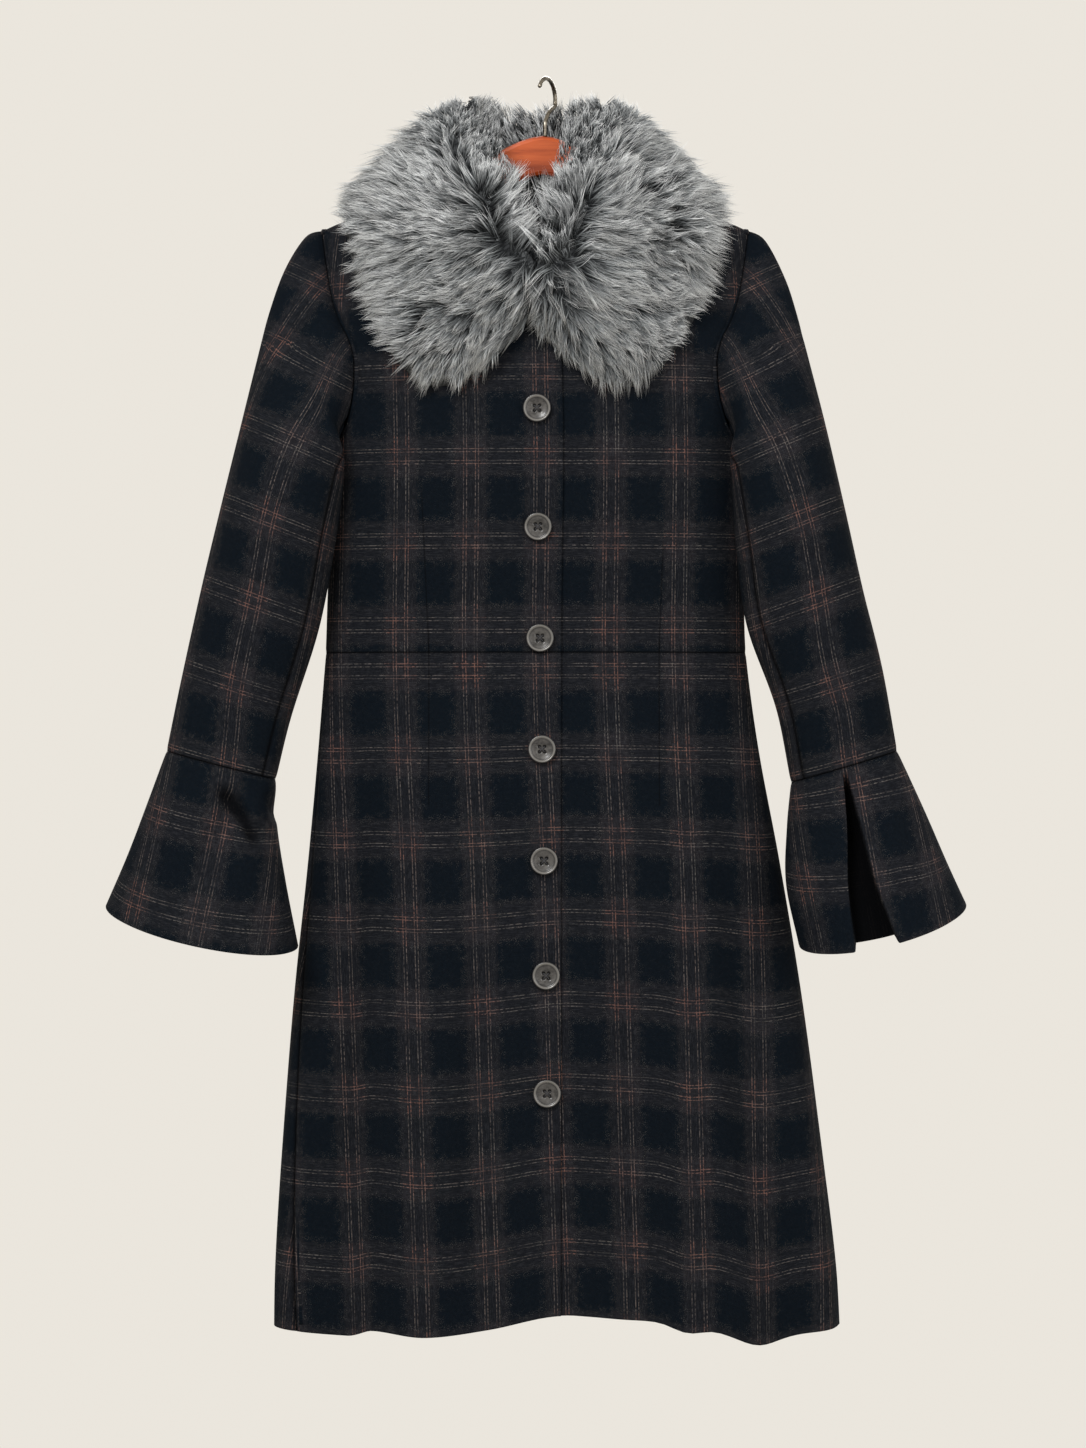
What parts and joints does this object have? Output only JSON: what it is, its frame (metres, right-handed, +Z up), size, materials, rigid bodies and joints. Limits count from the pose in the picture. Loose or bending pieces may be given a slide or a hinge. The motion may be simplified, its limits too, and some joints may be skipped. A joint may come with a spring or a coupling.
{
  "type": "knee-length coat with fur collar on hanger",
  "caption": "Buttoned knee-length coat with a waist seam, flared skirt, bell cuffs and a fur collar, hung on a wooden hanger.",
  "frame": {"origin": "inside top of the hanger's hook, where a rail carries it", "axes": "+Z up, the coat's front faces -Y, the wearer's left is at +X"},
  "size_m": [0.762, 0.1972, 1.1336],
  "materials": {
    "wool": "brushed wool with a soft plaid check",
    "fur": "long silver-grey pile with dark roots",
    "horn": "polished smoky horn",
    "wood": "satin reddish varnish",
    "wire": "plain drawn wire"
  },
  "bodies": {
    "root": {"right_bodice_front": "wool", "left_bodice_front": "wool", "back_bodice": "wool", "right_skirt_front": "wool", "left_skirt_front": "wool", "back_skirt": "wool", "right_top_sleeve": "wool", "right_under_sleeve": "wool", "left_top_sleeve": "wool", "left_under_sleeve": "wool", "right_cuff": "wool", "left_cuff": "wool", "fur_collar": "fur", "button_1": "horn", "button_2": "horn", "button_3": "horn", "button_4": "horn", "button_5": "horn", "button_6": "horn", "button_7": "horn", "hanger_body": "wood", "hanger_hook": "wire"}
  },
  "joints": []
}
